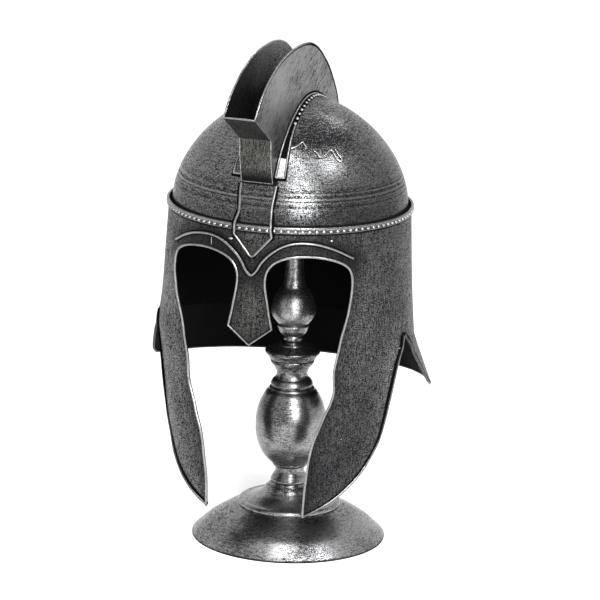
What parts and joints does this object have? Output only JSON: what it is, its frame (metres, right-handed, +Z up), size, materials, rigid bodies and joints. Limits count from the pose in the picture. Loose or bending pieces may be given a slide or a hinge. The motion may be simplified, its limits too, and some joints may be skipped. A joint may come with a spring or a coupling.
{
  "type": "roman helmet on a turned stand",
  "caption": "Sheet-metal roman helmet with eye openings, a nose guard, cheek guards, a neck guard and an open fore-and-aft crest, resting on a turned metal stand.",
  "frame": {"origin": "on the stand's axis, at the floor", "axes": "+Z up the stand; the helmet faces -Y; left in a name is the -X side, as seen from the front"},
  "size_m": [0.2359, 0.2537, 0.4116],
  "materials": {
    "antique_silver": "silvered sheet, darkened and rubbed back on the high places",
    "silvered_wire": "silvered wire and strip, rubbed bright",
    "turned_silver": "turned, silvered and darkened, with a soft polish"
  },
  "bodies": {
    "root": {"crest_front": "antique_silver", "crest_plate_left": "antique_silver", "crest_plate_right": "antique_silver", "helmet_wall": "antique_silver", "neck_guard": "antique_silver", "skull_dome": "antique_silver", "beaded_band": "silvered_wire", "brow_wire": "silvered_wire", "cheek_wire_left": "silvered_wire", "cheek_wire_right": "silvered_wire", "crest_edge_wire": "silvered_wire", "crest_foot_strip_left": "silvered_wire", "crest_foot_strip_right": "silvered_wire", "crest_v_wire": "silvered_wire", "face_edge_wire": "silvered_wire", "neck_guard_wire": "silvered_wire", "stand_ball": "turned_silver", "stand_cup": "turned_silver", "stand_drum": "turned_silver", "stand_foot": "turned_silver", "stand_seat": "turned_silver", "stand_spindle": "turned_silver"}
  },
  "joints": []
}
